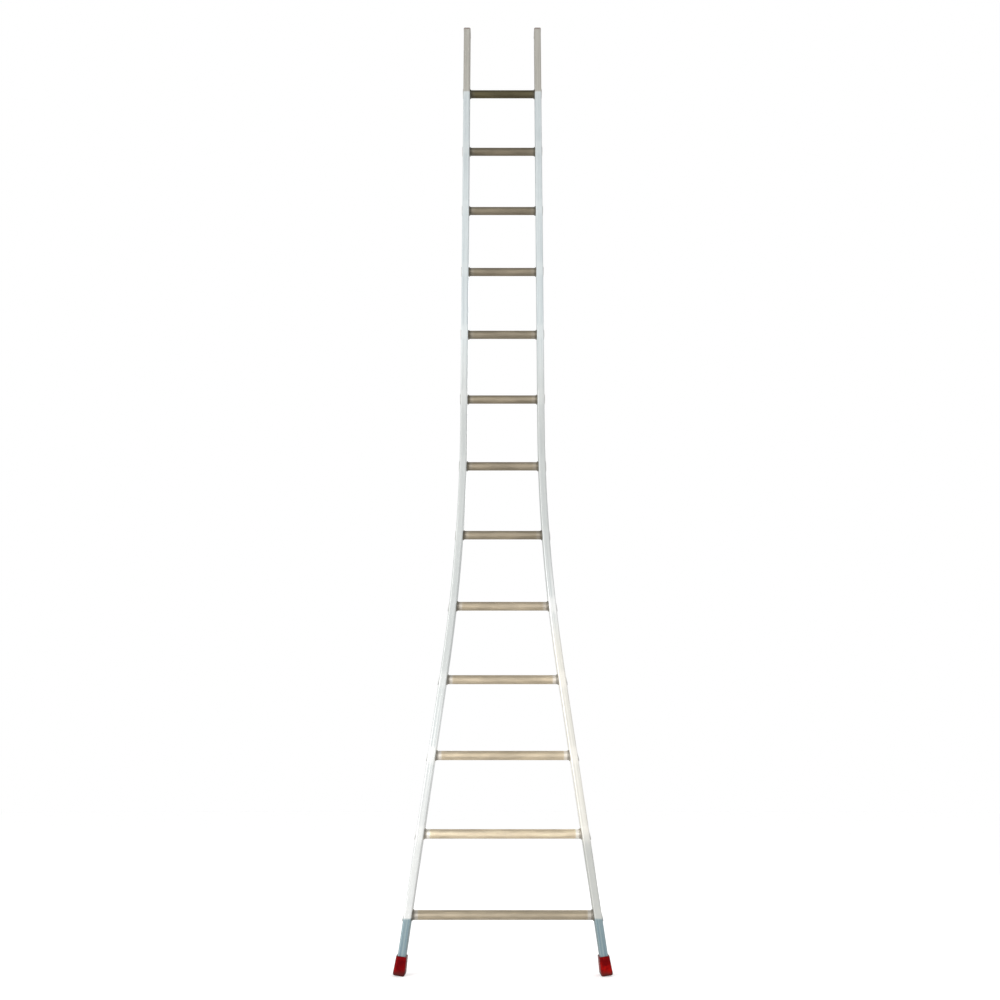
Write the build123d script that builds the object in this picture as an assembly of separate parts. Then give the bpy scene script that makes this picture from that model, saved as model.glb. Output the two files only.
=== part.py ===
from build123d import *
from math import asin, atan, cos, degrees, radians, sin, tan
import os

# A single-section aluminium ladder whose two stiles bend outwards towards the feet.
# Origin on the floor, midway between the feet. +Z runs up the ladder, +X from stile to
# stile, +Y from the climber's side to the wall side. Everything is in millimetres.

# ---- rungs --------------------------------------------------------------------------
RUNG_COUNT = 13
RUNG_PITCH = 250.0
FIRST_RUNG_Z = 180.0
RUNG_RADIUS = 15.0          # over the ridges
RUNG_BORE_RADIUS = 13.2
FLUTE_COUNT = 20
FLUTE_RADIUS = 1.7
FLUTE_DEPTH = 0.5
SMOOTH_END = 20.0           # from the stile to where the flutes begin

# Each tube is swaged on both sides of the stile: a bead inside it, a flange outside.
BEAD_RADIUS = 18.0
BEAD_WIDTH = 4.6
BEAD_ROUND = 1.7            # leaves a flat ring beside the tube even where the stile leans
FLANGE_RADIUS = 18.6
FLANGE_WIDTH = 2.0
FLANGE_ROUND = 1.0
SEAT_GAP = 0.03             # keeps the tube and the stile wall from overlapping
TUBE_SPARE = 8.0            # length beyond the flange, cut off square to the stile

# ---- stiles -------------------------------------------------------------------------
CLEAR_WIDTH = 250.0         # between the stiles where they are parallel
STILE_WIDTH = 25.0          # along X
STILE_DEPTH = 64.0          # along Y
STILE_WALL = 1.5
STILE_CORNER = 4.5
STILE_TOP_Z = 3449.0
BEND_TOP_Z = 1830.0         # the stiles are straight and parallel above this height
BEND_RADIUS = 6500.0        # of the stile's centre line
SPLAY = 7.85                # degrees, the slope of the straight lower legs

# ---- foot caps ----------------------------------------------------------------------
CAP_HEIGHT = 58.0
CAP_FLOOR = 12.0            # rubber under the end of the stile
CAP_TOP = (33.5, 72.5)      # X and Y size at the mouth
CAP_SOLE = (39.0, 78.0)     # X and Y size at the sole
CAP_CORNER = 7.5
CAP_SOLE_ROUND = 6.5
CAP_MOUTH_ROUND = 1.2
CAP_FIT = 0.1
TREAD_COUNT = 7
TREAD_PITCH = 10.0
TREAD_WIDTH = 3.4
TREAD_DEPTH = 2.6

# ---- blind rivets, one through each broad side of a cap ------------------------------
RIVET_HEIGHT = 36.0         # above the sole
RIVET_SHANK = 2.4
RIVET_HEAD = 4.75
RIVET_HEAD_HEIGHT = 1.5
RIVET_HEAD_ROUND = 1.2
RIVET_TAIL = 3.4
RIVET_TAIL_LENGTH = 4.0
RIVET_TAIL_ROUND = 1.7
RIVET_POCKET = 7.0
RIVET_POCKET_FACE = 16.0    # from the leg's centre line to the floor of the pocket

# ---- end plugs ----------------------------------------------------------------------
PLUG_HEAD_HEIGHT = 7.0
PLUG_OVERHANG = 0.7
PLUG_ROUND = 2.2
PLUG_SPIGOT = 24.0
PLUG_SPIGOT_WALL = 2.0
PLUG_FIT = 0.1

# ---- worked out from the sizes above -------------------------------------------------
CENTRE_X = CLEAR_WIDTH / 2 + STILE_WIDTH / 2
SLOPE = radians(SPLAY)
LEG_X = CENTRE_X + BEND_RADIUS * (1 - cos(SLOPE))
LEG_Z = BEND_TOP_Z - BEND_RADIUS * sin(SLOPE)
CAP_TAPER = atan((CAP_SOLE[0] - CAP_TOP[0]) / 2 / CAP_HEIGHT)
# the rounded inner edge of each sole is the ladder's lowest line, and lies at z = 0
SOLE_FLAT = CAP_SOLE[0] / 2 - CAP_SOLE_ROUND * (tan(CAP_TAPER) + 1 / cos(CAP_TAPER))
SOLE_Z = CAP_SOLE_ROUND * (1 - cos(SLOPE)) + SOLE_FLAT * sin(SLOPE)
SOLE_X = LEG_X + (LEG_Z - SOLE_Z) * tan(SLOPE)
LEG_LENGTH = (LEG_Z - SOLE_Z) / cos(SLOPE) - CAP_FLOOR


def wall_at(z, offset):
    """Where the right stile's wall is at height z, and how far it leans, in degrees.

    offset is the wall's distance from the stile's centre line, outwards positive.
    """
    drop = BEND_TOP_Z - z
    if drop <= 0:
        return CENTRE_X + offset, 0.0
    radius = BEND_RADIUS - offset
    lean = asin(drop / radius)
    if lean <= SLOPE:
        return CENTRE_X + BEND_RADIUS - radius * cos(lean), degrees(lean)
    straight = drop - radius * sin(SLOPE)
    x = CENTRE_X + BEND_RADIUS - radius * cos(SLOPE) + straight * tan(SLOPE)
    return x, SPLAY


def rounded_bar(size_x, size_y, corner, height):
    """An upright bar of rounded rectangular section, standing on the local XY plane."""
    return extrude(RectangleRounded(size_x, size_y, corner), height)


def rung_heights():
    return [FIRST_RUNG_Z + RUNG_PITCH * i for i in range(RUNG_COUNT)]


def stile_section():
    """The closed box section, drawn on the XY plane around the stile's centre line."""
    outer = RectangleRounded(STILE_WIDTH, STILE_DEPTH, STILE_CORNER)
    inner = RectangleRounded(
        STILE_WIDTH - 2 * STILE_WALL, STILE_DEPTH - 2 * STILE_WALL, STILE_CORNER - STILE_WALL
    )
    return outer - inner


def right_stile():
    """Straight top, an arc that turns outwards, then the straight leg; with rung holes."""
    section = stile_section()
    at_bend = Location((CENTRE_X, 0, BEND_TOP_Z))
    top = extrude(at_bend * section, STILE_TOP_Z - BEND_TOP_Z)

    # the arc's axis runs along Y, far outside the ladder
    bend_axis = Axis((CENTRE_X + BEND_RADIUS, 0, BEND_TOP_Z), (0, -1, 0))
    bend = revolve(at_bend * section, bend_axis, SPLAY)

    leg_frame = Location((LEG_X, 0, LEG_Z), (0, -SPLAY, 0))
    leg = extrude(leg_frame * section, -LEG_LENGTH)

    stile = Part(top.wrapped).fuse(Part(bend.wrapped), Part(leg.wrapped))
    for z in rung_heights():
        x = (wall_at(z, -STILE_WIDTH / 2)[0] + wall_at(z, STILE_WIDTH / 2)[0]) / 2
        hole = Location((x, 0, z), (0, 90, 0)) * Cylinder(RUNG_RADIUS + SEAT_GAP, 2 * STILE_WIDTH)
        stile = stile.cut(hole)
    for side in (-1, 1):
        shank_hole = Cylinder(RIVET_SHANK, STILE_WIDTH / 2)
        place = Location((side * STILE_WIDTH / 2, 0, RIVET_HEIGHT), (0, 90, 0))
        stile = stile.cut(cap_frame() * place * shank_hole)
    return stile


def flutes(length):
    """The shallow flutes round a rung, as rods to be cut from it, along the local Z axis."""
    places = PolarLocations(RUNG_RADIUS + FLUTE_RADIUS - FLUTE_DEPTH, FLUTE_COUNT)
    return extrude(Sketch() + places * Circle(FLUTE_RADIUS), length)


def collar(radius, width, middle_z):
    """A plain ring around the bore, square in section, at a height on the local Z axis."""
    breadth = radius - RUNG_BORE_RADIUS
    section = Pos(RUNG_BORE_RADIUS + breadth / 2, middle_z) * Rectangle(breadth, width)
    return revolve(Plane.XZ * section, Axis.Z)


def outer_edges(ring):
    """The ring's two outermost round edges, the lower one first."""
    return ring.edges().filter_by(GeomType.CIRCLE).group_by(SortBy.RADIUS)[-1].sort_by(Axis.Z)


def bead():
    """The half-round collar inside the stile, on the local XY plane, standing in -Z."""
    ring = collar(BEAD_RADIUS, BEAD_WIDTH, -BEAD_WIDTH / 2)
    return fillet(outer_edges(ring), BEAD_ROUND)


def flange():
    """The flat collar outside the stile, on the local XY plane, standing in +Z."""
    ring = collar(FLANGE_RADIUS, FLANGE_WIDTH, FLANGE_WIDTH / 2)
    return fillet(outer_edges(ring)[-1], FLANGE_ROUND)


def rung(z):
    """A tube from stile to stile with its bead and flange at both ends."""
    inner_x, inner_lean = wall_at(z, -STILE_WIDTH / 2)
    outer_x, outer_lean = wall_at(z, STILE_WIDTH / 2)
    reach = outer_x + FLANGE_WIDTH + TUBE_SPARE
    fluted = inner_x - SMOOTH_END
    # the tube's seam faces the climber, clear of the collars' seams at the top and bottom
    along = Location((0, 0, z), (0, 90, 0)) * Rot(0, 0, 90)
    tube = along * Cylinder(RUNG_RADIUS, 2 * reach)
    tube = tube - Location((-fluted, 0, z), (0, 90, 0)) * flutes(2 * fluted)
    for side in (-1, 1):
        # local +Z points out through the leaning wall
        seat = Location((side * (inner_x - SEAT_GAP), 0, z), (0, side * (90 - inner_lean), 0))
        rim = Location((side * (outer_x + SEAT_GAP), 0, z), (0, side * (90 - outer_lean), 0))
        cutter = rim * Pos(0, 0, FLANGE_WIDTH + reach / 2) * Box(reach, reach, reach)
        tube = tube - cutter
        tube = tube + seat * bead() + rim * flange()
    return tube - along * Cylinder(RUNG_BORE_RADIUS, 3 * reach)


def cap_frame():
    """The right leg's frame: origin at the centre of the sole, +Z up the leg."""
    return Location((SOLE_X, 0, SOLE_Z), (0, -SPLAY, 0))


def foot_cap():
    """A moulded cap that tapers from its wide sole to its mouth, in the cap's frame."""
    sole = RectangleRounded(*CAP_SOLE, CAP_CORNER)
    mouth = Pos(0, 0, CAP_HEIGHT) * RectangleRounded(*CAP_TOP, CAP_CORNER)
    body = loft([sole, mouth])
    body = fillet(body.edges().group_by(Axis.Z)[0], CAP_SOLE_ROUND)
    body = fillet(body.edges().group_by(Axis.Z)[-1], CAP_MOUTH_ROUND)
    pocket = Pos(0, 0, CAP_FLOOR) * rounded_bar(
        STILE_WIDTH + 2 * CAP_FIT, STILE_DEPTH + 2 * CAP_FIT, STILE_CORNER, CAP_HEIGHT
    )
    body = body - pocket
    for i in range(TREAD_COUNT):
        y = (i - (TREAD_COUNT - 1) / 2) * TREAD_PITCH
        body = body - Pos(0, y, 0) * Box(2 * CAP_SOLE[0], TREAD_WIDTH, 2 * TREAD_DEPTH)
    for side in (-1, 1):
        face = Location((side * RIVET_POCKET_FACE, 0, RIVET_HEIGHT), (0, side * 90, 0))
        pocket_depth = CAP_SOLE[0] / 2
        body = body - face * Pos(0, 0, pocket_depth / 2) * Cylinder(RIVET_POCKET, pocket_depth)
        body = body - face * Cylinder(RIVET_SHANK, STILE_WIDTH / 2)
    return body


def rivet():
    """A set blind rivet, head on the local XY plane and in +Z, tail in -Z."""
    # the shank passes the rest of the cap's wall and the stile's wall
    grip = RIVET_POCKET_FACE - STILE_WIDTH / 2 + STILE_WALL
    head = Pos(0, 0, RIVET_HEAD_HEIGHT / 2) * Cylinder(RIVET_HEAD, RIVET_HEAD_HEIGHT)
    head = fillet(head.edges().group_by(Axis.Z)[-1], RIVET_HEAD_ROUND)
    shank = Pos(0, 0, -grip / 2) * Cylinder(RIVET_SHANK, grip)
    tail = Pos(0, 0, -grip - RIVET_TAIL_LENGTH / 2) * Cylinder(RIVET_TAIL, RIVET_TAIL_LENGTH)
    tail = fillet(tail.edges().group_by(Axis.Z)[0], RIVET_TAIL_ROUND)
    return head + shank + tail


def rivets():
    """The cap's two rivets, in the cap's frame."""
    places = [
        Location((side * RIVET_POCKET_FACE, 0, RIVET_HEIGHT), (0, side * 90, 0)) for side in (-1, 1)
    ]
    return Compound(children=[place * rivet() for place in places])


def end_plug():
    """The plug in the right stile's top end: a head on the end, a hollow spigot inside."""
    head = rounded_bar(
        STILE_WIDTH + 2 * PLUG_OVERHANG, STILE_DEPTH + 2 * PLUG_OVERHANG, STILE_CORNER, PLUG_HEAD_HEIGHT
    )
    head = fillet(head.edges().group_by(Axis.Z)[-1], PLUG_ROUND)
    spigot_x = STILE_WIDTH - 2 * (STILE_WALL + PLUG_FIT)
    spigot_y = STILE_DEPTH - 2 * (STILE_WALL + PLUG_FIT)
    spigot = Pos(0, 0, -PLUG_SPIGOT) * rounded_bar(
        spigot_x, spigot_y, STILE_CORNER - STILE_WALL, PLUG_SPIGOT
    )
    spigot = chamfer(spigot.edges().group_by(Axis.Z)[0], PLUG_SPIGOT_WALL / 2)
    hollow = Pos(0, 0, -PLUG_SPIGOT) * Box(
        spigot_x - 2 * PLUG_SPIGOT_WALL,
        spigot_y - 2 * PLUG_SPIGOT_WALL,
        PLUG_SPIGOT,
        align=(Align.CENTER, Align.CENTER, Align.MIN),
    )
    return Location((CENTRE_X, 0, STILE_TOP_Z)) * (head + (spigot - hollow))


def save(name, shape):
    shape.label = name
    export_step(shape, f"parts/{name}.step")


def save_pair(name, right_shape):
    """Both sides of a piece: the right one as made, the left one mirrored in the YZ plane."""
    save(f"{name}_right", right_shape)
    save(f"{name}_left", mirror(right_shape, about=Plane.YZ))


os.makedirs("parts", exist_ok=True)
save_pair("stile", right_stile())
for number, height in enumerate(rung_heights(), start=1):
    save(f"rung_{number:02d}", rung(height))
save_pair("foot_cap", cap_frame() * foot_cap())
save_pair("cap_rivets", cap_frame() * rivets())
save_pair("end_plug", end_plug())
print("leg length", round(LEG_LENGTH, 2), "sole centre", round(SOLE_X, 3), round(SOLE_Z, 3))
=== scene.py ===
from math import asin, cos, pi, radians, sin, tan

import bmesh
import bpy
from mathutils import Matrix, Vector


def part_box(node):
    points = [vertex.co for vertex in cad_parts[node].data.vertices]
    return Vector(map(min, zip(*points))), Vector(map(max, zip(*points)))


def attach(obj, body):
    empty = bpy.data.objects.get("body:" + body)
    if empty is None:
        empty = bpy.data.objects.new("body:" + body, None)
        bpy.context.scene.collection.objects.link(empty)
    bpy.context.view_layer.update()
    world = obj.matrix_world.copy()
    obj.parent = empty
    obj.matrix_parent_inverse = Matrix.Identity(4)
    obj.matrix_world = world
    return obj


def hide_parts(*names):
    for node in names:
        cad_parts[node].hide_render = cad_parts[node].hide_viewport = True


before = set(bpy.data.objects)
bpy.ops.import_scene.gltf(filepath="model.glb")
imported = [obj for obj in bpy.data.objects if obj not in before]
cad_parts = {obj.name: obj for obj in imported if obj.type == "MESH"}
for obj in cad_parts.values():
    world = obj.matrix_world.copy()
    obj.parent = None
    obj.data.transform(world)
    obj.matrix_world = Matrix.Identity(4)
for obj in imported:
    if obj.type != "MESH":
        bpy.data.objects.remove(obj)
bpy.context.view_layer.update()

# ---- the two stiles -----------------------------------------------------------------
# Closed box sections of mill-finish aluminium, extruded in one length and bent outwards
# over a large roller below the middle. Each is drilled through both broad walls for the
# rungs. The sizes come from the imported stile; the bend is a plain arc between straights.

low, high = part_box("stile_right")
STILE_INNER_X = low.x
STILE_WIDTH = 0.025
STILE_DEPTH = high.y - low.y
STILE_TOP_Z = high.z
STILE_CORNER = 0.0045
STILE_WALL = 0.0015
BEND_TOP_Z = 1.830
BEND_RADIUS = 6.5
SPLAY = radians(7.85)
CENTRE_X = STILE_INNER_X + STILE_WIDTH / 2
BEND_CENTRE_X = CENTRE_X + BEND_RADIUS
LEG_TOP = Vector((BEND_CENTRE_X - BEND_RADIUS * cos(SPLAY), 0, BEND_TOP_Z - BEND_RADIUS * sin(SPLAY)))
LEG_DOWN = Vector((sin(SPLAY), 0, -cos(SPLAY)))
# the stile's lowest corner is the inner one of its square-cut end
LEG_LENGTH = (LEG_TOP.z - low.z - STILE_WIDTH / 2 * sin(SPLAY)) / cos(SPLAY)

rung_names = sorted(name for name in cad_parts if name.startswith("rung_"))
rung_z = {}
for name in rung_names:
    low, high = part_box(name)
    rung_z[name] = (low.z + high.z) / 2
FIRST_RUNG_Z = rung_z[rung_names[0]]
RUNG_PITCH = (rung_z[rung_names[-1]] - FIRST_RUNG_Z) / (len(rung_names) - 1)
RUNG_RADIUS = 0.015

# heights over which the painted reflections start and end: (from, to)
LOW_REFLECTION_ENDS = (0.167, 0.175)
HIGH_REFLECTION_STARTS = (3.168, 3.176)


def wall_at(z, offset):
    """x and lean of the right stile's wall at height z, offset out from its centre line."""
    drop = BEND_TOP_Z - z
    if drop <= 0:
        return CENTRE_X + offset, 0.0
    radius = BEND_RADIUS - offset
    lean = asin(min(1.0, drop / radius))
    if lean <= SPLAY:
        return BEND_CENTRE_X - radius * cos(lean), lean
    straight = drop - radius * sin(SPLAY)
    return BEND_CENTRE_X - radius * cos(SPLAY) + straight * tan(SPLAY), SPLAY


def unbend(point):
    """The point's place on the stile before it was bent: across, through, and along it."""
    x, y, z = abs(point.x), point.y, point.z
    if z >= BEND_TOP_Z:
        return x - CENTRE_X, y, z
    out, down = BEND_CENTRE_X - x, BEND_TOP_Z - z
    reach = (out * out + down * down) ** 0.5
    turn = asin(down / reach)
    if turn <= SPLAY:
        return BEND_RADIUS - reach, y, BEND_TOP_Z - BEND_RADIUS * turn
    from_top = Vector((x, 0, z)) - LEG_TOP
    across = from_top.dot(Vector((cos(SPLAY), 0, sin(SPLAY))))
    return across, y, BEND_TOP_Z - BEND_RADIUS * SPLAY - from_top.dot(LEG_DOWN)


def new_piece(name, bm):
    """Turns a bmesh into an object at the origin, with its edges sharp past 35 degrees."""
    mesh = bpy.data.meshes.new(name)
    bm.to_mesh(mesh)
    bm.free()
    mesh.shade_smooth()
    mesh.set_sharp_from_angle(angle=radians(35))
    piece = bpy.data.objects.new(name, mesh)
    bpy.context.scene.collection.objects.link(piece)
    return piece


def settle(piece):
    """Applies the piece's modifiers, so that its mesh is the final one."""
    view = bpy.context.evaluated_depsgraph_get()
    final = bpy.data.meshes.new_from_object(piece.evaluated_get(view))
    piece.modifiers.clear()
    piece.data = final
    final.shade_smooth()
    final.set_sharp_from_angle(angle=radians(35))


def cut(piece, cutter_bm):
    """Cuts a closed bmesh out of the piece."""
    cutter = new_piece("cutter", cutter_bm)
    tool = piece.modifiers.new("cut", "BOOLEAN")
    tool.operation = "DIFFERENCE"
    tool.solver = "EXACT"
    tool.object = cutter
    settle(piece)
    bpy.data.objects.remove(cutter)


def mirrored(bm):
    """Moves a right-hand bmesh to the left side, with its faces still outwards."""
    bmesh.ops.scale(bm, vec=(-1, 1, 1), verts=bm.verts)
    bmesh.ops.reverse_faces(bm, faces=bm.faces)


def rounded_rectangle(bm, size_x, size_y, corner, segments):
    """One rounded rectangular face on the XY plane."""
    bmesh.ops.create_grid(bm, x_segments=1, y_segments=1, size=0.5)
    bmesh.ops.scale(bm, vec=(size_x, size_y, 1), verts=bm.verts)
    bmesh.ops.bevel(
        bm, geom=bm.verts[:], offset=corner, offset_type="OFFSET", segments=segments,
        profile=0.5, affect="VERTICES", material=-1,
    )


def stile(name, left):
    bm = bmesh.new()
    rounded_rectangle(bm, STILE_WIDTH, STILE_DEPTH, STILE_CORNER, 6)
    bmesh.ops.delete(bm, geom=bm.faces[:], context="FACES_ONLY")
    bmesh.ops.translate(bm, vec=(CENTRE_X, 0, BEND_TOP_Z), verts=bm.verts)
    ring = bm.edges[:]
    top = bmesh.ops.extrude_edge_only(bm, edges=ring)["geom"]
    top_verts = [g for g in top if isinstance(g, bmesh.types.BMVert)]
    bmesh.ops.translate(bm, vec=(0, 0, STILE_TOP_Z - BEND_TOP_Z), verts=top_verts)
    ring_verts = list({v for e in ring for v in e.verts})
    bend = bmesh.ops.spin(
        bm, geom=ring_verts + ring, cent=(BEND_CENTRE_X, 0, BEND_TOP_Z), axis=(0, -1, 0),
        dvec=(0, 0, 0), angle=SPLAY, steps=24, use_duplicate=False,
    )["geom_last"]
    last = [g for g in bend if isinstance(g, bmesh.types.BMEdge)]
    leg = bmesh.ops.extrude_edge_only(bm, edges=last)["geom"]
    leg_verts = [g for g in leg if isinstance(g, bmesh.types.BMVert)]
    bmesh.ops.translate(bm, vec=LEG_DOWN * LEG_LENGTH, verts=leg_verts)
    bmesh.ops.recalc_face_normals(bm, faces=bm.faces)
    if left:
        mirrored(bm)
    piece = new_piece(name, bm)
    wall = piece.modifiers.new("wall", "SOLIDIFY")
    wall.thickness = STILE_WALL
    wall.offset = -1
    settle(piece)

    holes = bmesh.new()
    for z in rung_z.values():
        x = (wall_at(z, -STILE_WIDTH / 2)[0] + wall_at(z, STILE_WIDTH / 2)[0]) / 2
        place = Matrix.Translation((-x if left else x, 0, z)) @ Matrix.Rotation(pi / 2, 4, "Y")
        bmesh.ops.create_cone(
            holes, cap_ends=True, segments=64, radius1=RUNG_RADIUS, radius2=RUNG_RADIUS,
            depth=2 * STILE_WIDTH, matrix=place,
        )
    cut(piece, holes)

    # the finish follows the metal round the bend, so it is kept as an attribute
    lay = piece.data.attributes.new("stile_lay", "FLOAT_VECTOR", "POINT")
    for vertex, entry in zip(piece.data.vertices, lay.data):
        entry.vector = unbend(vertex.co)
    even = piece.modifiers.new("flat_faces_flat", "WEIGHTED_NORMAL")
    even.keep_sharp = True
    return piece


def material(name, **sockets):
    """A new node material and its Principled shader, with plain values set on its sockets."""
    made = bpy.data.materials.new(name)
    made.use_nodes = True
    shader = made.node_tree.nodes["Principled BSDF"]
    for socket, value in sockets.items():
        shader.inputs[socket.replace("_", " ")].default_value = value
    return made, shader


def node(made, kind, inputs=None, **settings):
    """Adds a node: settings are its own, inputs are values or sockets to link from."""
    new = made.node_tree.nodes.new("ShaderNode" + kind)
    for name, value in settings.items():
        setattr(new, name, value)
    for key, value in (inputs or {}).items():
        if isinstance(value, bpy.types.NodeSocket):
            made.node_tree.links.new(value, new.inputs[key])
        else:
            new.inputs[key].default_value = value
    return new


def math(made, operation, first, second=0.0, clamp=False):
    return node(made, "Math", {0: first, 1: second}, operation=operation, use_clamp=clamp).outputs[0]


def mix(made, share, low, high):
    """A colour between low and high; each is a colour or a socket."""
    new = node(made, "Mix", {0: share, 6: low, 7: high}, data_type="RGBA")
    return new.outputs[2]


def between(made, value, low, high, out_low=0.0, out_high=1.0):
    """Fades from out_low to out_high as value goes from low to high."""
    return node(
        made, "MapRange",
        {0: value, 1: low, 2: high, 3: out_low, 4: out_high}, interpolation_type="SMOOTHSTEP",
    ).outputs[0]


def set_stops(ramp, stops):
    """Fills a colour ramp node from (position, colour) pairs."""
    elements = ramp.color_ramp.elements
    while len(elements) < len(stops):
        elements.new(0.5)
    for element, (position, colour) in zip(elements, stops):
        element.position = position
    for element, (position, colour) in zip(elements, stops):
        element.color = (*colour, 1)


def grain(made, vector, scale, detail=3.0, roughness=0.55):
    """Noise with its own scale along each axis."""
    mapped = node(made, "Mapping", {"Vector": vector, "Scale": scale}).outputs[0]
    return node(
        made, "TexNoise", {"Vector": mapped, "Scale": 1.0, "Detail": detail, "Roughness": roughness}
    ).outputs[0]


def bumped(made, shader, height, distance, strength=1.0):
    bump = node(made, "Bump", {"Height": height, "Distance": distance, "Strength": strength})
    made.node_tree.links.new(bump.outputs[0], shader.inputs["Normal"])


def from_rungs(made, place):
    """Height above or below the nearest rung's axis, in metres, from Object coordinates."""
    z = node(made, "SeparateXYZ", {0: place}).outputs[2]
    up = math(made, "SUBTRACT", z, FIRST_RUNG_Z)
    nearest = math(made, "ROUND", math(made, "DIVIDE", up, RUNG_PITCH))
    return math(made, "SUBTRACT", up, math(made, "MULTIPLY", nearest, RUNG_PITCH)), z


def stile_finish():
    """Dull mill finish: die lines along the metal, cloudy oxide, and a lighter tone about each rung.

    Below the lowest rung it is a blue-grey painted reflection of the ground, and above the top one a
    dull beige painted reflection.
    Between them each leg has its own tones.
    """
    made, shader = material("mill_aluminium", Metallic=0.42)
    lay = node(made, "Attribute", attribute_name="stile_lay").outputs["Vector"]
    place = node(made, "TexCoord").outputs["Object"]
    lines = grain(made, lay, (1500, 1500, 5), detail=4)
    streaks = grain(made, lay, (210, 210, 2.2), detail=3)
    patches = grain(made, place, (13, 13, 7), detail=5)
    marks = grain(made, lay, (420, 420, 60), detail=2, roughness=0.4)
    x = node(made, "SeparateXYZ", {0: place}).outputs[0]
    step, z = from_rungs(made, place)
    # lighter about each rung's joint
    pale_near_joint = between(made, math(made, "ABSOLUTE", step), 0.017, 0.036, 1.0, 0.0)
    tone = math(made, "ADD", math(made, "MULTIPLY", lines, 0.4), math(made, "MULTIPLY", streaks, 0.6))
    metal = mix(made, between(made, tone, 0.38, 0.62), (0.60, 0.635, 0.64, 1), (0.86, 0.875, 0.87, 1))
    metal = mix(made, between(made, patches, 0.45, 0.75, 0.0, 0.35), metal, (0.66, 0.68, 0.655, 1))
    metal = mix(made, math(made, "MULTIPLY", pale_near_joint, 0.7), metal, (0.90, 0.905, 0.89, 1))
    left, right = between(made, x, -0.1, 0.0, 1.0, 0.0), between(made, x, 0.0, 0.1)
    # duller about the middle, lower down on the left leg than on the right, and cooler above
    up_leg = math(made, "SUBTRACT", z, math(made, "MULTIPLY", right, 0.4))
    below_bend = between(made, z, 1.70, 2.30, 0.85, 0.0)
    dulled = math(made, "MULTIPLY", between(made, up_leg, 0.70, 1.05), below_bend)
    metal = mix(made, dulled, metal, (0.54, 0.565, 0.56, 1))
    metal = mix(made, between(made, z, 1.9, 2.3, 0.0, 0.55), metal, (0.65, 0.74, 0.78, 1))
    # low down the left leg is a light grey; the right one is creamy up to its fourth rung,
    # and grey between its lowest two
    light_grey = math(made, "MULTIPLY", left, between(made, z, 0.5, 0.8, 0.5, 0.0))
    metal = mix(made, light_grey, metal, (0.62, 0.63, 0.625, 1))
    cream = math(made, "MULTIPLY", right, between(made, z, 1.0, 1.2, 0.45, 0.0))
    metal = mix(made, cream, metal, (0.86, 0.80, 0.68, 1))
    grey = math(made, "MULTIPLY", right, between(made, z, 0.38, 0.46, 0.75, 0.0))
    metal = mix(made, grey, metal, (0.46, 0.48, 0.47, 1))
    # painted reflections: blue-grey of the ground below the lowest rung, dull beige above the top one
    painted_ground_reflection = mix(
        made, between(made, tone, 0.40, 0.60), (0.135, 0.215, 0.275, 1), (0.27, 0.36, 0.375, 1)
    )
    painted_beige_reflection = mix(made, between(made, tone, 0.38, 0.62), (0.44, 0.42, 0.375, 1), (0.60, 0.585, 0.535, 1))
    colour = mix(made, between(made, z, *LOW_REFLECTION_ENDS, 0.95, 0.0), metal, painted_ground_reflection)
    colour = mix(made, between(made, z, *HIGH_REFLECTION_STARTS, 0.0, 0.95), colour, painted_beige_reflection)
    made.node_tree.links.new(colour, shader.inputs["Base Color"])
    clouds = between(made, patches, 0.35, 0.7, 0.30, 0.46)
    dull = math(made, "ADD", clouds, math(made, "MULTIPLY", lines, 0.14))
    made.node_tree.links.new(dull, shader.inputs["Roughness"])
    relief = math(made, "ADD", lines, between(made, marks, 0.70, 0.74, 0.0, -0.8))
    bumped(made, shader, relief, 0.00003, 0.6)
    return made


stile_metal = stile_finish()

for side, left in (("left", True), ("right", False)):
    piece = stile(f"bent_stile_{side}", left)
    piece.data.materials.append(stile_metal)
    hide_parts(f"stile_{side}")
    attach(piece, "root")

# ---- the rungs ------------------------------------------------------------------------
# Round aluminium tubes, fluted all round against slipping. Each is pushed through both
# stiles, swaged up into a bead against the inner wall and flanged over the outer one, so
# it is held without welds. The collars lie flat on the wall, so low down they lean.

RUNG_BORE = 0.0132
FLUTES = 20
POINTS_A_FLUTE = 6
GROOVE = {3: 0.985, 4: 0.967, 5: 0.985}
# each collar as steps of (distance out past the wall, radius)
BEAD = (
    (-0.0045, 0.0151), (-0.0043, 0.0164), (-0.0035, 0.0174), (-0.0023, 0.0180),
    (-0.0010, 0.0175), (-0.0002, 0.0164), (-0.0001, 0.0149),
)
FLANGE = (
    (0.0000, 0.0149), (0.0000, 0.0179), (0.0004, 0.0184), (0.0010, 0.0186), (0.0016, 0.0183),
    (0.0020, 0.0176), (0.0020, 0.0149), (0.0018, 0.0141), (0.0010, 0.0135), (-0.0012, 0.0132),
)
# the smooth end of the tube beside each bead, gripped and polished by the swaging tool
FLUTE_END = 0.023
FLUTE_FADE = 0.017


def flute_points(verts):
    """The ring's verts that lie in a flute, with how deep each is, by their order round it."""
    count = FLUTES * POINTS_A_FLUTE
    for vert in verts:
        turn = round(Vector((vert.co.y, vert.co.z)).angle_signed(Vector((1, 0))) / (2 * pi) * count)
        depth = GROOVE.get(turn % POINTS_A_FLUTE)
        if depth:
            yield vert, depth


def next_ring(bm, edges, x, radius):
    """Extrudes the tube's open end to x, and makes it that radius over the ridges."""
    made = bmesh.ops.extrude_edge_only(bm, edges=edges)["geom"]
    verts = [g for g in made if isinstance(g, bmesh.types.BMVert)]
    was = max(Vector((v.co.y, v.co.z)).length for v in verts)
    bmesh.ops.scale(bm, vec=(1, radius / was, radius / was), verts=verts)
    bmesh.ops.translate(bm, vec=(x - verts[0].co.x, 0, 0), verts=verts)
    return [g for g in made if isinstance(g, bmesh.types.BMEdge)], verts


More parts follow.
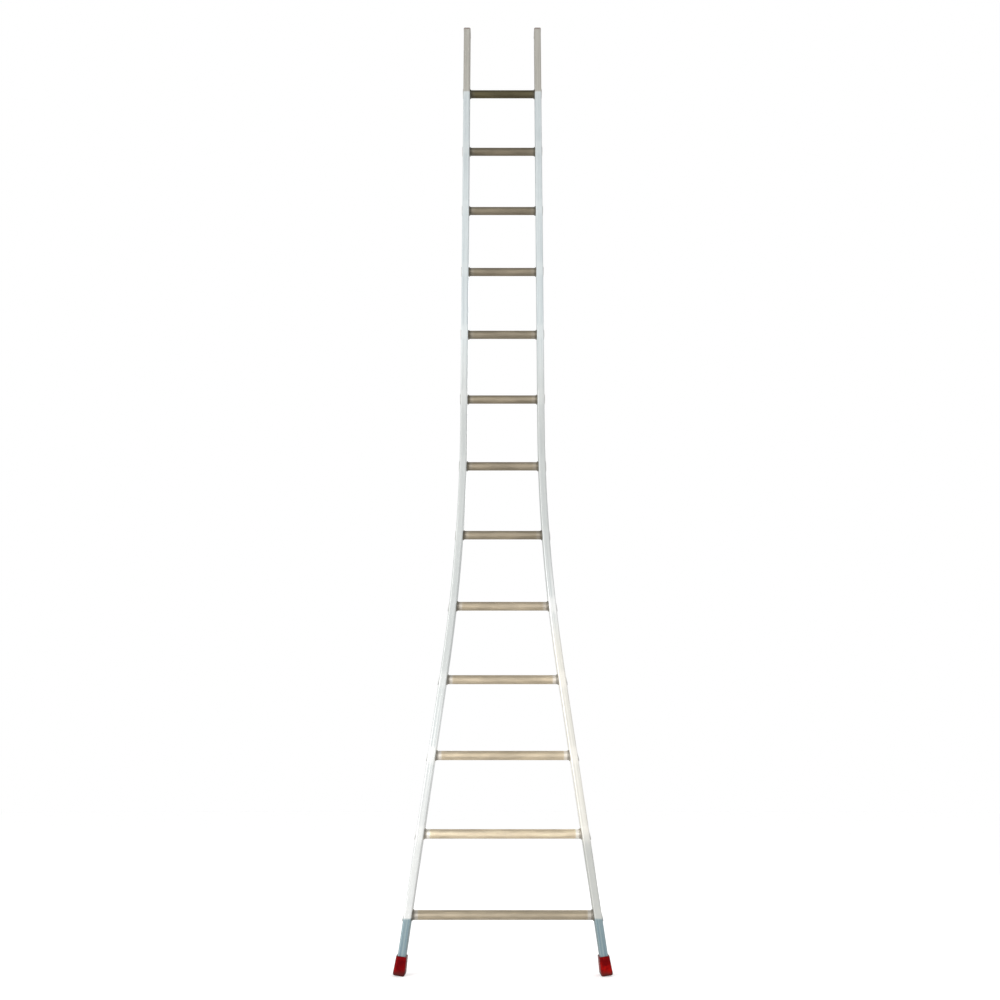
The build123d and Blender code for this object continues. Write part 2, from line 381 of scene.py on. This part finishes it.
def lean_over(bm, verts, lean):
    """Shears a collar so that it lies flat on a wall that leans."""
    shear = Matrix.Identity(4)
    shear[0][2] = -tan(lean)
    bmesh.ops.transform(bm, matrix=shear, verts=verts)


def rung(name, z):
    inner_x, inner_lean = wall_at(z, -STILE_WIDTH / 2)
    outer_x, outer_lean = wall_at(z, STILE_WIDTH / 2)
    bm = bmesh.new()
    bmesh.ops.create_circle(
        bm, segments=FLUTES * POINTS_A_FLUTE, radius=RUNG_RADIUS,
        matrix=Matrix.Rotation(pi / 2, 4, "Y"),
    )
    for vert, depth in list(flute_points(bm.verts)):
        bmesh.ops.scale(bm, vec=(1, depth, depth), verts=[vert])
    edges, verts = next_ring(bm, bm.edges[:], inner_x - FLUTE_END, RUNG_RADIUS)
    edges, verts = next_ring(bm, edges, inner_x - FLUTE_FADE, RUNG_RADIUS)
    for vert, depth in list(flute_points(verts)):
        bmesh.ops.scale(bm, vec=(1, 1 / depth, 1 / depth), verts=[vert])
    collar = list(verts)
    for out, radius in BEAD:
        edges, verts = next_ring(bm, edges, inner_x + out, radius)
        collar += verts
    lean_over(bm, collar, inner_lean)
    rim = []
    for out, radius in FLANGE:
        edges, verts = next_ring(bm, edges, outer_x + out, radius)
        rim += verts
    lean_over(bm, rim, outer_lean)
    edges, verts = next_ring(bm, edges, 0, RUNG_BORE)
    bmesh.ops.mirror(bm, geom=bm.verts[:] + bm.edges[:] + bm.faces[:], axis="X", merge_dist=1e-6)
    bmesh.ops.translate(bm, vec=(0, 0, z), verts=bm.verts)
    bmesh.ops.recalc_face_normals(bm, faces=bm.faces)
    piece = new_piece(name, bm)
    bare = piece.data.attributes.new("from_wall", "FLOAT", "POINT")
    for vertex, entry in zip(piece.data.vertices, bare.data):
        entry.value = inner_x - abs(vertex.co.x)
    return piece


# the metal by height, as (height, lightness, blue in it for each part of red): painted shade,
# light low down and dark higher up as the light falls off, and olive at the top
RUNG_PAINTED_SHADE = (
    (0.18, 0.60, 0.63), (0.43, 1.0, 0.63), (0.68, 0.80, 0.63), (1.18, 0.61, 0.63), (1.43, 0.41, 0.63),
    (1.93, 0.39, 0.63), (2.43, 0.33, 0.63), (2.93, 0.25, 0.61), (3.18, 0.115, 0.43),
)
RUNG_GREEN = 0.855


def rung_finish():
    """Dull, warm grey-brown aluminium: dirt in the flutes, worn ridges, bare swaged ends. Its darkening
    up the ladder is painted shade, so is the dark band beside each wall, and the pale ends are partly a
    painted highlight.
    """
    made, shader = material("fluted_aluminium", Metallic=0.6)
    place = node(made, "TexCoord").outputs["Object"]
    step, z = from_rungs(made, place)
    y = node(made, "SeparateXYZ", {0: place}).outputs[1]
    squares = math(made, "ADD", math(made, "POWER", y, 2.0), math(made, "POWER", step, 2.0))
    radius = math(made, "SQRT", squares)
    ridge = between(made, radius, RUNG_RADIUS - 0.0004, RUNG_RADIUS)
    # painted shade: the rungs darken upwards
    shade_by_height = node(made, "ValToRGB", {0: math(made, "DIVIDE", z, STILE_TOP_Z)})
    set_stops(shade_by_height, [
        (height / STILE_TOP_Z, (tone, RUNG_GREEN * tone, blue * tone))
        for height, tone, blue in RUNG_PAINTED_SHADE
    ])
    lines = grain(made, place, (4, 1400, 1400), detail=4)
    patches = grain(made, place, (11, 50, 50), detail=5)
    colour = node(made, "HueSaturation", {
        "Color": shade_by_height.outputs[0], "Value": between(made, patches, 0.3, 0.7, 0.86, 1.12),
        "Saturation": between(made, lines, 0.35, 0.65, 0.85, 1.1),
    }).outputs[0]
    bare = node(made, "Attribute", attribute_name="from_wall").outputs["Fac"]
    # the bare ends beside the beads are a paler silver, strongest low down: partly bare metal, partly a
    # painted highlight
    pale_near_joint = between(made, bare, 0.016, 0.022, 0.8, 0.0)
    pale_near_joint = math(made, "MULTIPLY", pale_near_joint, between(made, z, 0.8, 1.6, 1.0, 0.25))
    silver = node(made, "HueSaturation", {"Color": colour, "Saturation": 0.3, "Value": 1.12}).outputs[0]
    colour = mix(made, pale_near_joint, colour, silver)
    fluted = between(made, bare, 0.015, 0.026, 0.0, 0.30)
    darkened = math(made, "MULTIPLY", math(made, "SUBTRACT", 1.0, ridge), fluted)
    colour = mix(made, darkened, colour, (0.10, 0.08, 0.055, 1))
    # painted shade: a dark band on the rung beside each stile's inner wall, where the stile shades it
    beside_wall = between(made, bare, 0.005, 0.011, 0.6, 0.0)
    corner_shade = math(made, "MULTIPLY", beside_wall, between(made, bare, -0.002, 0.0))
    colour = mix(made, corner_shade, colour, (0.12, 0.11, 0.085, 1))
    # the flange outside the stile is as pale as the stile
    colour = mix(made, between(made, bare, -0.028, -0.022, 0.9, 0.0), colour, (0.80, 0.81, 0.80, 1))
    made.node_tree.links.new(colour, shader.inputs["Base Color"])
    clouds = between(made, patches, 0.3, 0.7, 0.36, 0.50)
    dull = math(made, "ADD", clouds, math(made, "MULTIPLY", lines, 0.08))
    made.node_tree.links.new(dull, shader.inputs["Roughness"])
    bumped(made, shader, lines, 0.00003, 0.6)
    return made


rung_metal = rung_finish()
for name, z in rung_z.items():
    piece = rung(f"fluted_{name}", z)
    piece.data.materials.append(rung_metal)
    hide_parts(name)
    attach(piece, "root")

# ---- the foot caps --------------------------------------------------------------------
# Red rubber mouldings pushed over the stile ends, wider at the sole than at the mouth and
# square to the leg. The sole is grooved across, and each broad side has a round recess for
# the rivet that holds the cap on.

CAP_HEIGHT = 0.058
CAP_FLOOR = 0.012
CAP_MOUTH = (0.0334, 0.0724)
CAP_SOLE = (0.0388, 0.0778)
CAP_CORNER = 0.0075
CAP_SOLE_ROUND = 0.0065
CAP_MOUTH_ROUND = 0.0012
CAP_SOFT_EDGE = 0.0004
CAP_POCKET_WALL = (CAP_MOUTH[0] - STILE_WIDTH) / 2 - 0.0001
TREADS = 7
TREAD_PITCH = 0.010
TREAD_WIDTH = 0.0034
TREAD_DEPTH = 0.0026
RIVET_UP = 0.036
RIVET_OUT = 0.016
RIVET_RECESS = 0.007
SOLE_CENTRE = LEG_TOP + LEG_DOWN * (LEG_LENGTH + CAP_FLOOR)
CAP_PLACE = Matrix.Translation(SOLE_CENTRE) @ Matrix.Rotation(-SPLAY, 4, "Y")


def faces_at(bm, z):
    return [f for f in bm.faces if all(abs(v.co.z - z) < 1e-6 for v in f.verts)]


def rounded_rim(bm, face, radius, segments):
    """Rounds the edges round a face, and returns the smaller face that is left."""
    z = face.verts[0].co.z
    bmesh.ops.bevel(
        bm, geom=face.edges[:], offset=radius, offset_type="OFFSET", segments=segments,
        profile=0.5, affect="EDGES", material=-1,
    )
    return max(faces_at(bm, z), key=lambda f: f.calc_area())


def foot_cap(name, left):
    bm = bmesh.new()
    rounded_rectangle(bm, *CAP_SOLE, CAP_CORNER, 6)
    bm.faces.ensure_lookup_table()
    mouth = bmesh.ops.extrude_face_region(bm, geom=[bm.faces[0]])["geom"]
    verts = [g for g in mouth if isinstance(g, bmesh.types.BMVert)]
    bmesh.ops.translate(bm, vec=(0, 0, CAP_HEIGHT), verts=verts)
    bmesh.ops.scale(bm, vec=(CAP_MOUTH[0] / CAP_SOLE[0], CAP_MOUTH[1] / CAP_SOLE[1], 1), verts=verts)
    bmesh.ops.recalc_face_normals(bm, faces=bm.faces)
    rounded_rim(bm, faces_at(bm, 0)[0], CAP_SOLE_ROUND, 6)
    mouth = rounded_rim(bm, faces_at(bm, CAP_HEIGHT)[0], CAP_MOUTH_ROUND, 3)
    bmesh.ops.inset_region(bm, faces=[mouth], thickness=CAP_POCKET_WALL - CAP_MOUTH_ROUND)
    pocket = bmesh.ops.extrude_face_region(bm, geom=[mouth])["geom"]
    verts = [g for g in pocket if isinstance(g, bmesh.types.BMVert)]
    bmesh.ops.translate(bm, vec=(0, 0, CAP_FLOOR - CAP_HEIGHT), verts=verts)
    if mouth.is_valid:
        bmesh.ops.delete(bm, geom=[mouth], context="FACES_ONLY")
    bmesh.ops.recalc_face_normals(bm, faces=bm.faces)
    piece = new_piece(name, bm)

    cutters = bmesh.new()
    for i in range(TREADS):
        y = (i - (TREADS - 1) / 2) * TREAD_PITCH
        size = Matrix.Diagonal((2 * CAP_SOLE[0], TREAD_WIDTH, 2 * TREAD_DEPTH, 1))
        bmesh.ops.create_cube(cutters, size=1, matrix=Matrix.Translation((0, y, 0)) @ size)
    for outward in (-1, 1):
        depth = CAP_SOLE[0] / 2
        place = Matrix.Translation((outward * (RIVET_OUT + depth / 2), 0, RIVET_UP))
        bmesh.ops.create_cone(
            cutters, cap_ends=True, segments=48, radius1=RIVET_RECESS, radius2=RIVET_RECESS,
            depth=depth, matrix=place @ Matrix.Rotation(pi / 2, 4, "Y"),
        )
    cut(piece, cutters)
    soft = piece.modifiers.new("soft_edges", "BEVEL")
    soft.width = CAP_SOFT_EDGE
    soft.segments = 2
    soft.limit_method = "ANGLE"
    soft.angle_limit = radians(40)
    settle(piece)
    piece.data.transform(CAP_PLACE)
    if left:
        piece.data.transform(Matrix.Diagonal((-1, 1, 1, 1)))
        piece.data.flip_normals()
    even = piece.modifiers.new("flat_faces_flat", "WEIGHTED_NORMAL")
    even.keep_sharp = True
    return piece


def cap_finish():
    """Red moulded rubber: a fine skin, slightly uneven gloss, scuffed near the sole and darker towards
    the bottom.
    """
    made, shader = material("red_rubber", Specular_IOR_Level=0.3)
    # the skin is coloured right through, so its sheen is red as well
    shader.inputs["Specular Tint"].default_value = (1.0, 0.08, 0.06, 1)
    place = node(made, "TexCoord").outputs["Object"]
    skin = grain(made, place, (1600, 1600, 1600), detail=2)
    cloud = grain(made, place, (38, 38, 38), detail=3)
    scuff = grain(made, place, (300, 300, 120), detail=4, roughness=0.7)
    x, _, z = node(made, "SeparateXYZ", {0: place}).outputs
    colour = mix(
        made, between(made, cloud, 0.35, 0.65), (0.115, 0.0012, 0.0024, 1), (0.33, 0.0036, 0.0026, 1)
    )
    # the left cap is a darker crimson
    colour = mix(made, between(made, x, -0.1, 0.1, 0.55, 0.0), colour, (0.085, 0.0008, 0.0040, 1))
    near_sole = between(made, z, 0.008, 0.030, 0.4, 0.08)
    worn = math(made, "MULTIPLY", between(made, scuff, 0.58, 0.70), near_sole)
    colour = mix(made, worn, colour, (0.26, 0.020, 0.014, 1))
    # darker towards the bottom
    low_down = between(made, z, 0.002, 0.024, 0.85, 0.0)
    darkened = math(made, "MULTIPLY", low_down, between(made, cloud, 0.25, 0.55, 0.5, 1.0))
    colour = mix(made, darkened, colour, (0.035, 0.02, 0.017, 1))
    made.node_tree.links.new(colour, shader.inputs["Base Color"])
    skin_gloss = between(made, cloud, 0.3, 0.7, 0.27, 0.42)
    gloss = math(made, "ADD", skin_gloss, math(made, "MULTIPLY", worn, 0.4))
    made.node_tree.links.new(gloss, shader.inputs["Roughness"])
    bumped(made, shader, math(made, "ADD", skin, math(made, "MULTIPLY", scuff, 0.8)), 0.00005, 0.5)
    return made


cap_rubber = cap_finish()
for side, left in (("left", True), ("right", False)):
    piece = foot_cap(f"moulded_cap_{side}", left)
    piece.data.materials.append(cap_rubber)
    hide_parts(f"foot_cap_{side}")
    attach(piece, "root")

# ---- the cap rivets -------------------------------------------------------------------
# Aluminium blind rivets, one through each broad side of a cap into the stile: a domed head
# with the broken mandrel in its middle, a plain shank, and a tail swollen inside the wall.

# the outline from the middle of the head to the middle of the tail: (radius, height)
RIVET_OUTLINE = (
    (0.0, 0.0009), (0.00115, 0.0009), (0.0012, 0.0013), (0.0015, 0.0015), (0.0025, 0.0014),
    (0.0036, 0.00105), (0.0044, 0.0006), (0.00475, 0.0002), (0.00475, 0.0), (0.0024, 0.0),
    (0.0024, -0.005), (0.0034, -0.0054), (0.0034, -0.008), (0.0022, -0.009), (0.0, -0.009),
)


def rivets(name, left):
    bm = bmesh.new()
    for outward in (-1, 1):
        one = bmesh.new()
        points = [one.verts.new((r, 0, h)) for r, h in RIVET_OUTLINE]
        edges = [one.edges.new(pair) for pair in zip(points, points[1:])]
        bmesh.ops.spin(
            one, geom=points + edges, cent=(0, 0, 0), axis=(0, 0, 1), dvec=(0, 0, 0),
            angle=2 * pi, steps=28, use_merge=True, use_duplicate=False,
        )
        bmesh.ops.remove_doubles(one, verts=one.verts, dist=1e-7)
        bmesh.ops.recalc_face_normals(one, faces=one.faces)
        place = Matrix.Translation((outward * RIVET_OUT, 0, RIVET_UP))
        one.transform(CAP_PLACE @ place @ Matrix.Rotation(outward * pi / 2, 4, "Y"))
        lone = bpy.data.meshes.new("one_rivet")
        one.to_mesh(lone)
        one.free()
        bm.from_mesh(lone)
        bpy.data.meshes.remove(lone)
    if left:
        mirrored(bm)
    return new_piece(name, bm)


def rivet_finish():
    """Bright aluminium, turned and slightly dulled."""
    made, shader = material("rivet_metal", Metallic=1.0)
    place = node(made, "TexCoord").outputs["Object"]
    dull = grain(made, place, (700, 700, 700), detail=4)
    colour = mix(made, between(made, dull, 0.3, 0.7), (0.55, 0.56, 0.57, 1), (0.80, 0.80, 0.81, 1))
    made.node_tree.links.new(colour, shader.inputs["Base Color"])
    made.node_tree.links.new(between(made, dull, 0.3, 0.7, 0.22, 0.42), shader.inputs["Roughness"])
    bumped(made, shader, dull, 0.00002, 0.5)
    return made


rivet_metal = rivet_finish()
for side, left in (("left", True), ("right", False)):
    piece = rivets(f"blind_rivets_{side}", left)
    piece.data.materials.append(rivet_metal)
    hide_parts(f"cap_rivets_{side}")
    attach(piece, "root")

# ---- the end plugs --------------------------------------------------------------------
# Grey-brown plastic plugs that close the stile tops: a rounded head that stands a little
# over the metal, and a hollow spigot that is pushed down inside and holds by friction.

PLUG_HEAD = 0.007
PLUG_OVERHANG = 0.0007
PLUG_ROUND = 0.0022
PLUG_SPIGOT = 0.024
PLUG_SPIGOT_WALL = 0.002
PLUG_INSET = PLUG_OVERHANG + STILE_WALL + 0.0001


def end_plug(name, left):
    bm = bmesh.new()
    rounded_rectangle(
        bm, STILE_WIDTH + 2 * PLUG_OVERHANG, STILE_DEPTH + 2 * PLUG_OVERHANG,
        STILE_CORNER + PLUG_OVERHANG, 6,
    )
    bm.faces.ensure_lookup_table()
    made = bmesh.ops.extrude_face_region(bm, geom=[bm.faces[0]])["geom"]
    verts = [g for g in made if isinstance(g, bmesh.types.BMVert)]
    bmesh.ops.translate(bm, vec=(0, 0, PLUG_HEAD), verts=verts)
    bmesh.ops.recalc_face_normals(bm, faces=bm.faces)
    rounded_rim(bm, faces_at(bm, PLUG_HEAD)[0], PLUG_ROUND, 4)
    for inset, push in ((PLUG_INSET, -PLUG_SPIGOT), (PLUG_SPIGOT_WALL, PLUG_SPIGOT - 0.001)):
        end = min(bm.faces, key=lambda f: (f.calc_center_median().z, -f.calc_area()))
        bmesh.ops.inset_region(bm, faces=[end], thickness=inset)
        made = bmesh.ops.extrude_face_region(bm, geom=[end])["geom"]
        verts = [g for g in made if isinstance(g, bmesh.types.BMVert)]
        bmesh.ops.translate(bm, vec=(0, 0, push), verts=verts)
        if end.is_valid:
            bmesh.ops.delete(bm, geom=[end], context="FACES_ONLY")
    bmesh.ops.recalc_face_normals(bm, faces=bm.faces)
    bmesh.ops.translate(bm, vec=(CENTRE_X, 0, STILE_TOP_Z), verts=bm.verts)
    if left:
        mirrored(bm)
    return new_piece(name, bm)


def plug_finish():
    """Matt grey-brown plastic with a fine spark-eroded skin and a few rubbed spots."""
    made, shader = material("plug_plastic")
    place = node(made, "TexCoord").outputs["Object"]
    skin = grain(made, place, (2200, 2200, 2200), detail=2)
    rubbed = grain(made, place, (130, 130, 130), detail=5)
    colour = mix(made, between(made, rubbed, 0.35, 0.7), (0.24, 0.20, 0.185, 1), (0.36, 0.32, 0.30, 1))
    made.node_tree.links.new(colour, shader.inputs["Base Color"])
    made.node_tree.links.new(between(made, rubbed, 0.3, 0.7, 0.62, 0.45), shader.inputs["Roughness"])
    bumped(made, shader, skin, 0.00006, 0.6)
    return made


plug_plastic = plug_finish()
for side, left in (("left", True), ("right", False)):
    piece = end_plug(f"push_in_plug_{side}", left)
    piece.data.materials.append(plug_plastic)
    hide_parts(f"end_plug_{side}")
    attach(piece, "root")

# ---- studio: floor, lights and camera -------------------------------------------------
# A plain, nearly white floor and a soft key light from the front left. The metal mirrors a
# room that is brightest at eye level and dim overhead and underfoot. The camera looks up at
# the upright ladder as a level one at eye height would at a ladder leaning 15 degrees back.

FLOOR_RADIUS = 60
FLOOR_GLOW = 0.445

floor_mesh = bmesh.new()
bmesh.ops.create_circle(floor_mesh, cap_ends=True, segments=96, radius=FLOOR_RADIUS)
floor = new_piece("floor", floor_mesh)
floor.visible_glossy = False
floor_paint, floor_shader = material("pale_floor", Roughness=0.9, Emission_Strength=FLOOR_GLOW)
floor_shader.inputs["Base Color"].default_value = (0.90, 0.90, 0.90, 1)
floor_shader.inputs["Emission Color"].default_value = (1, 1, 1, 1)
floor.data.materials.append(floor_paint)

# what the metal mirrors, as (rise of the direction, colour): from underfoot to overhead
ROOM = (
    (-1.0, (0.16, 0.145, 0.125)), (-0.5, (0.22, 0.205, 0.18)), (-0.28, (0.36, 0.35, 0.33)),
    (-0.10, (0.56, 0.56, 0.55)), (0.0, (1.0, 1.0, 1.0)), (0.10, (0.68, 0.69, 0.69)),
    (0.22, (0.47, 0.475, 0.475)), (0.45, (0.29, 0.285, 0.27)), (0.62, (0.16, 0.155, 0.14)),
    (1.0, (0.12, 0.12, 0.12)),
)
ROOM_GLOW = 1.5
AMBIENT = 0.64

world = bpy.data.worlds.new("studio")
world.use_nodes = True
sky = world.node_tree.nodes["Background"]
direction = node(world, "SeparateXYZ", {0: node(world, "TexCoord").outputs["Generated"]})
rise = node(world, "MapRange", {0: direction.outputs[2], 1: -1.0}).outputs[0]
room = node(world, "ValToRGB", {0: rise})
set_stops(room, [((level + 1) / 2, colour) for level, colour in ROOM])
rays = node(world, "LightPath")
mirrored_rays = rays.outputs["Is Glossy Ray"]
ahead = between(world, direction.outputs[1], -0.2, 0.6, ROOM_GLOW, 0.7 * ROOM_GLOW)
plain = between(world, rays.outputs["Is Camera Ray"], 0.0, 1.0, AMBIENT, 1.0)
strength = node(world, "Mix", {0: mirrored_rays, 2: plain, 3: ahead}).outputs[0]
world.node_tree.links.new(mix(world, mirrored_rays, (1, 1, 1, 1), room.outputs[0]), sky.inputs["Color"])
world.node_tree.links.new(strength, sky.inputs["Strength"])
bpy.context.scene.world = world
bpy.context.scene.view_settings.view_transform = "Standard"


def soft_light(name, place, aim, size_x, size_y, power, tint):
    data = bpy.data.lights.new(name, "AREA")
    data.shape = "RECTANGLE"
    data.size, data.size_y = size_x, size_y
    data.energy = power
    data.color = tint
    lamp = bpy.data.objects.new(name, data)
    lamp.location = place
    lamp.rotation_euler = (Vector(aim) - Vector(place)).to_track_quat("-Z", "Y").to_euler()
    bpy.context.scene.collection.objects.link(lamp)


soft_light("key", (-2.9, -3.9, 1.3), (0, 0, 1.3), 1.2, 2.4, 120, (1.0, 0.985, 0.965))
soft_light("back", (1.8, 4.5, 3.6), (0, 0, 1.6), 2.5, 2.0, 60, (1, 1, 1))

CAMERA_PLACE = (-0.009, -3.904, 0.534)
CAMERA_TILT = 14.68
CAMERA_LENS = 41.36

camera_data = bpy.data.cameras.new("camera")
camera_data.lens = CAMERA_LENS
camera_data.sensor_width = 36
camera = bpy.data.objects.new("camera", camera_data)
camera.location = CAMERA_PLACE
camera.rotation_euler = (radians(90 + CAMERA_TILT), 0, 0)
bpy.context.scene.collection.objects.link(camera)
bpy.context.scene.camera = camera
